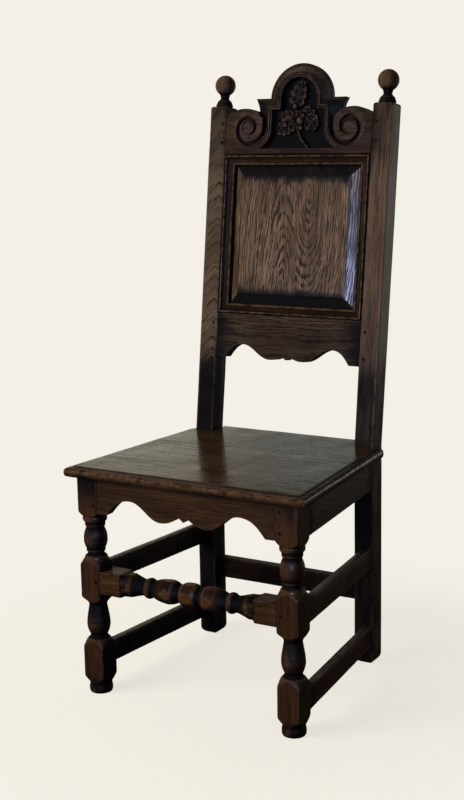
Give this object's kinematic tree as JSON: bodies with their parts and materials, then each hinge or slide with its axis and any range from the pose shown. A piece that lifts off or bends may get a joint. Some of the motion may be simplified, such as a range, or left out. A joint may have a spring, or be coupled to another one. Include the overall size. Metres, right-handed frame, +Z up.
{
  "type": "chair",
  "caption": "Joined oak side chair: turned front legs and stretcher, raked posts, fielded back panel, carved leaf crest, ball finials, moulded board seat, pegged rails",
  "frame": {"origin": "on the floor, under the centre of the chair's bounding box", "axes": "+Z up, -Y towards the front of the seat, +X to the right as seen from the front"},
  "size_m": [0.5194, 0.5345, 1.2089],
  "materials": {
    "oak_dark": "old dark stained oak, waxed",
    "oak_back": "old brown oak, worn wax",
    "oak_panel": "old mid-brown oak with open grain, satin wax",
    "oak_seat": "worn dark oak, polished by use",
    "oak_peg": "dark end grain"
  },
  "bodies": {
    "root": {"finial_left": "oak_dark", "finial_right": "oak_dark", "lower_back_rail": "oak_back", "back_panel": "oak_panel", "panel_moulding_bottom": "oak_dark", "panel_moulding_top": "oak_dark", "panel_moulding_left": "oak_dark", "panel_moulding_right": "oak_dark", "crest_rail": "oak_dark", "peg_lower_back_rail_left_lower": "oak_peg", "peg_lower_back_rail_left_upper": "oak_peg", "peg_crest_rail_left_lower": "oak_peg", "peg_crest_rail_left_upper": "oak_peg", "peg_lower_back_rail_right_lower": "oak_peg", "peg_lower_back_rail_right_upper": "oak_peg", "peg_crest_rail_right_lower": "oak_peg", "peg_crest_rail_right_upper": "oak_peg", "front_leg_left": "oak_dark", "rear_post_left": "oak_back", "side_seat_rail_left": "oak_dark", "side_stretcher_upper_left": "oak_dark", "side_stretcher_lower_left": "oak_dark", "front_leg_right": "oak_dark", "rear_post_right": "oak_back", "side_seat_rail_right": "oak_dark", "side_stretcher_upper_right": "oak_dark", "side_stretcher_lower_right": "oak_dark", "rear_seat_rail": "oak_dark", "rear_stretcher": "oak_dark", "front_seat_rail": "oak_dark", "front_stretcher": "oak_dark", "seat_board": "oak_seat", "peg_front_rail_left_lower": "oak_peg", "peg_front_rail_left_upper": "oak_peg", "peg_front_stretcher_left": "oak_peg", "peg_side_seat_rail_left_front": "oak_peg", "peg_side_seat_rail_left_rear": "oak_peg", "peg_side_stretcher_upper_left_front": "oak_peg", "peg_side_stretcher_upper_left_rear": "oak_peg", "peg_side_stretcher_lower_left_front": "oak_peg", "peg_side_stretcher_lower_left_rear": "oak_peg", "peg_rear_seat_rail_left": "oak_peg", "peg_rear_stretcher_left": "oak_peg", "peg_front_rail_right_lower": "oak_peg", "peg_front_rail_right_upper": "oak_peg", "peg_front_stretcher_right": "oak_peg", "peg_side_seat_rail_right_front": "oak_peg", "peg_side_seat_rail_right_rear": "oak_peg", "peg_side_stretcher_upper_right_front": "oak_peg", "peg_side_stretcher_upper_right_rear": "oak_peg", "peg_side_stretcher_lower_right_front": "oak_peg", "peg_side_stretcher_lower_right_rear": "oak_peg", "peg_rear_seat_rail_right": "oak_peg", "peg_rear_stretcher_right": "oak_peg"}
  },
  "joints": []
}
